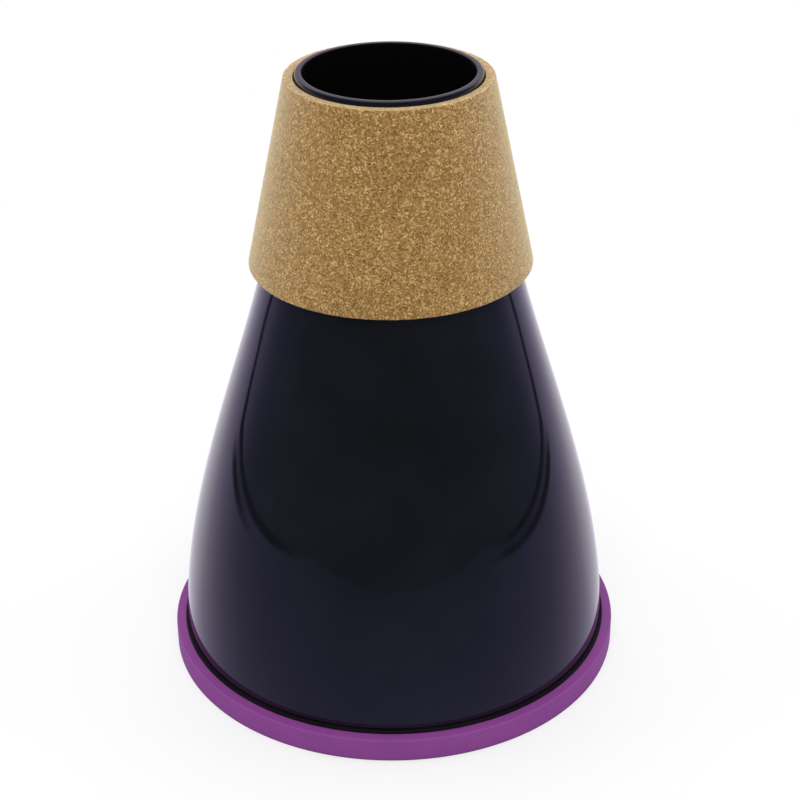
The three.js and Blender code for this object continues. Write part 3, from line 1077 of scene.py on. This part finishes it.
def table_finish():
    """White laminate: plain white with the mute's soft shadow, and what the shell's gloss shows of it."""
    made = bpy.data.materials.new("white_table_laminate")
    made.use_nodes = True
    tree = made.node_tree
    tree.nodes.clear()
    place = add(tree, "ShaderNodeTexCoord").outputs["Object"]
    rays = add(tree, "ShaderNodeLightPath")
    far = add(tree, "ShaderNodeVectorMath", {0: place}, operation="LENGTH")
    fade = add(
        tree,
        "ShaderNodeMapRange",
        {"Value": far.outputs["Value"], "From Min": SHADOW_FADE[0], "From Max": SHADOW_FADE[1]},
        interpolation_type="SMOOTHSTEP",
    )
    paper = add(tree, "ShaderNodeBsdfDiffuse", {"Color": linear(PAPER)})
    lift = add(tree, "ShaderNodeEmission", {"Color": linear(WHITE), "Strength": PAPER_LIFT})
    near = add(tree, "ShaderNodeAddShader", {0: paper.outputs["BSDF"], 1: lift.outputs["Emission"]})
    plain = add(tree, "ShaderNodeEmission", {"Color": linear(WHITE), "Strength": 1.0})
    seen = add(
        tree,
        "ShaderNodeMixShader",
        {0: fade.outputs["Result"], 1: near.outputs["Shader"], 2: plain.outputs["Emission"]},
    )
    mirrored = mirrored_floor(tree, place)
    # Hardly any light comes back from the narrow ring where the mute stands.
    edge = add(tree, "ShaderNodeMath", {0: far.outputs["Value"], 1: CAP_RADIUS * MM}, operation="SUBTRACT")
    off = add(tree, "ShaderNodeMath", {0: edge.outputs["Value"]}, operation="ABSOLUTE")
    lit = add(
        tree,
        "ShaderNodeMapRange",
        {
            "Value": off.outputs["Value"],
            "From Max": FOOT_SHADE_REACH,
            "To Min": BOUNCE[0],
            "To Max": BOUNCE[1],
        },
    )
    bounce = add(tree, "ShaderNodeEmission", {"Color": linear(WHITE), "Strength": lit.outputs["Result"]})
    gloss = add(
        tree,
        "ShaderNodeMath",
        {0: rays.outputs["Is Glossy Ray"], 1: rays.outputs["Is Transmission Ray"]},
        operation="MAXIMUM",
    )
    unseen = add(
        tree,
        "ShaderNodeMixShader",
        {0: gloss.outputs["Value"], 1: bounce.outputs["Emission"], 2: mirrored.outputs["Emission"]},
    )
    front = add(
        tree,
        "ShaderNodeMixShader",
        {0: rays.outputs["Is Camera Ray"], 1: unseen.outputs["Shader"], 2: seen.outputs["Shader"]},
    )
    side = add(tree, "ShaderNodeNewGeometry").outputs["Backfacing"]
    clear = add(tree, "ShaderNodeBsdfTransparent")
    whole = add(tree, "ShaderNodeMixShader", {0: side, 1: front.outputs["Shader"], 2: clear.outputs["BSDF"]})
    add(tree, "ShaderNodeOutputMaterial", {"Surface": whole.outputs["Shader"]})
    return made


def lay_floor():
    mesh = bmesh.new()
    drop = Matrix.Translation((0, 0, FLOOR_DROP))
    bmesh.ops.create_grid(mesh, x_segments=1, y_segments=1, size=FLOOR_HALF_SIZE, matrix=drop)
    data = bpy.data.meshes.new("table_top")
    mesh.to_mesh(data)
    mesh.free()
    data.materials.append(table_finish())
    floor = bpy.data.objects.new("table_top", data)
    bpy.context.scene.collection.objects.link(floor)


# The light of the room. A rise is a direction's height, from -1 straight down to 1 straight up.
AMBIENT = (0.4, 1.0)
AMBIENT_Y = (-0.7, 0.5)
UPPER_WALL_RISE = (0.06, 0.26)
UPPER_WALL_TINT = "#cec1d4"
CEILING_RISE = (0.7, 0.95)
CEILING_LIGHT = 0.6


def room_world():
    """White to the camera, soft even light on matt surfaces, and the room with its white back in gloss."""
    world = bpy.data.worlds.new("studio")
    bpy.context.scene.world = world
    world.use_nodes = True
    world.cycles.sampling_method = "NONE"
    tree = world.node_tree
    tree.nodes.clear()
    axes, level, back = backward(tree, add(tree, "ShaderNodeTexCoord").outputs["Generated"])
    high = add(
        tree,
        "ShaderNodeMapRange",
        {"Value": axes.outputs["Z"], "From Min": UPPER_WALL_RISE[0], "From Max": UPPER_WALL_RISE[1]},
        interpolation_type="SMOOTHSTEP",
    )
    walls = add(
        tree,
        "ShaderNodeMix",
        {"Factor": high.outputs["Result"], 6: room_tone(tree, back), 7: linear(UPPER_WALL_TINT)},
        data_type="RGBA",
        blend_type="MULTIPLY",
    )
    above = add(
        tree,
        "ShaderNodeMapRange",
        {
            "Value": axes.outputs["Z"],
            "From Min": CEILING_RISE[0],
            "From Max": CEILING_RISE[1],
            "To Max": CEILING_LIGHT,
        },
        interpolation_type="SMOOTHSTEP",
    )
    ceiling = add(
        tree,
        "ShaderNodeVectorMath",
        {0: walls.outputs[2], 1: above.outputs["Result"]},
        operation="MAXIMUM",
    )
    soft = add(
        tree,
        "ShaderNodeMapRange",
        {
            "Value": axes.outputs["Y"],
            "From Min": AMBIENT_Y[0],
            "From Max": AMBIENT_Y[1],
            "To Min": AMBIENT[0],
            "To Max": AMBIENT[1],
        },
    )
    rays = add(tree, "ShaderNodeLightPath")
    matt = add(
        tree,
        "ShaderNodeMix",
        {"Factor": rays.outputs["Is Glossy Ray"], 6: soft.outputs["Result"], 7: ceiling.outputs["Vector"]},
        data_type="RGBA",
    )
    straight = add(
        tree,
        "ShaderNodeMath",
        {0: rays.outputs["Is Camera Ray"], 1: rays.outputs["Is Transmission Ray"]},
        operation="MAXIMUM",
    )
    look = add(
        tree,
        "ShaderNodeMix",
        {"Factor": straight.outputs["Value"], 6: matt.outputs[2], 7: linear(WHITE)},
        data_type="RGBA",
    )
    sky = add(tree, "ShaderNodeBackground", {"Color": look.outputs[2], "Strength": 1.0})
    add(tree, "ShaderNodeOutputWorld", {"Surface": sky.outputs["Background"]})


# Each lamp: its name, its place and side length in metres, and its power in watts.
LAMPS = (
    ("front_softbox", (0.0, -0.8, 0.86), 0.9, 8.1),
    ("left_softbox", (-1.0, 0.15, 0.5), 0.8, 4.0),
    ("right_softbox", (1.0, 0.15, 0.5), 0.8, 4.0),
    ("back_softbox", (0.0, 0.8, 0.9), 0.9, 3.0),
)
LAMP_AIM = (0.0, 0.0, 0.07)


def hang_lamps():
    """Large soft lamps all round that light the mute evenly and show in no gloss."""
    for name, place, size, power in LAMPS:
        lamp = bpy.data.lights.new(name, "AREA")
        lamp.size = size
        lamp.energy = power
        fitting = bpy.data.objects.new(name, lamp)
        fitting.location = place
        aim = Vector(LAMP_AIM) - Vector(place)
        fitting.rotation_euler = aim.to_track_quat("-Z", "Y").to_euler()
        fitting.visible_camera = False
        fitting.visible_glossy = False
        bpy.context.scene.collection.objects.link(fitting)


# The camera, fitted to the ellipses of the base, the collar and the rim. Its place is in millimetres.
CAMERA_PLACE = (0.0, -368.9, 263.1)
CAMERA_PITCH = math.radians(28.68)
CAMERA_YAW = math.radians(-0.274)
CAMERA_ROLL = math.radians(0.407)
CAMERA_LENS = 83.56
CAMERA_SENSOR = 36
CAMERA_NEAR = 10 * MM


def set_camera():
    data = bpy.data.cameras.new("camera")
    data.lens = CAMERA_LENS
    data.sensor_width = CAMERA_SENSOR
    data.clip_start = CAMERA_NEAR
    camera = bpy.data.objects.new("camera", data)
    place = Matrix.Translation(Vector(CAMERA_PLACE) * MM)
    turn = Matrix.Rotation(CAMERA_YAW, 4, "Z") @ Matrix.Rotation(math.pi / 2 - CAMERA_PITCH, 4, "X")
    camera.matrix_world = place @ turn @ Matrix.Rotation(-CAMERA_ROLL, 4, "Z")
    bpy.context.scene.collection.objects.link(camera)
    bpy.context.scene.camera = camera


set_camera()
room_world()
hang_lamps()
lay_floor()
make_mute()
bpy.context.scene.view_settings.view_transform = "Standard"
